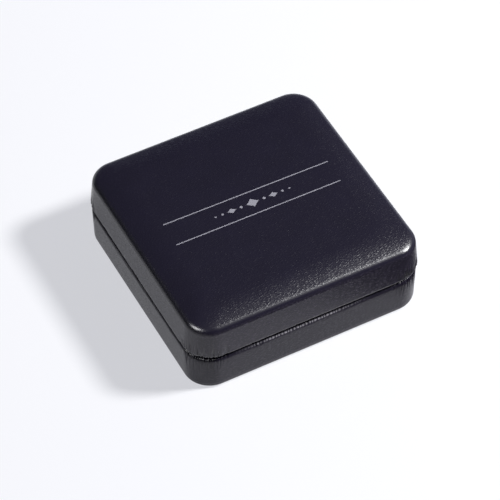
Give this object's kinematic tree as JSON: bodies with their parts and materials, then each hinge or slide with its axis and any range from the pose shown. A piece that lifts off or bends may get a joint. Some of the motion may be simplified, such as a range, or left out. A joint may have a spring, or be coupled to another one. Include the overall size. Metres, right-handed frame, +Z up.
{
  "type": "coin case",
  "caption": "Square leatherette coin case with a padded lid on a snap hinge and a velour insert with a round capsule recess.",
  "frame": {"origin": "middle of the flat underside of the base", "axes": "+Z up through the lid, +X along the hinge axis, +Y towards the hinge, so the case opens at -Y"},
  "size_m": [0.06, 0.0599, 0.0203],
  "materials": {
    "leatherette": "fine pebble-grained black PVC leatherette",
    "shell_core": "pressed polystyrene shell",
    "collar_paper": "card covered with black glossy paper",
    "foam": "closed-cell foam sheet",
    "velour": "short-pile black velour",
    "card": "grey-brown lining card",
    "satin": "off-white satin",
    "hinge_steel": "nickel-plated steel strip",
    "spring_steel": "tempered spring steel",
    "rivet_brass": "brass eyelet rivet"
  },
  "bodies": {
    "case_base": {"base_leatherette": "leatherette", "base_shell": "shell_core", "rim_collar": "collar_paper", "insert_block": "foam", "insert_velour": "velour", "hinge_base_leaf": "hinge_steel", "hinge_pin": "hinge_steel", "snap_spring_left": "spring_steel", "snap_spring_right": "spring_steel", "base_rivet_left": "rivet_brass", "base_rivet_right": "rivet_brass"},
    "case_lid": {"lid_leatherette": "leatherette", "lid_wadding": "foam", "lid_shell": "shell_core", "lining_board": "card", "lining_foam": "foam", "lining_satin": "satin", "hinge_lid_leaf": "hinge_steel", "lid_rivet_left": "rivet_brass", "lid_rivet_right": "rivet_brass"}
  },
  "joints": [
    {"name": "lid_hinge", "type": "hinge", "parent": "case_base", "child": "case_lid", "pos_m": [0, 0.0293, 0.0104], "axis": [-1, 0, 0], "range_deg": [0, 95]}
  ]
}
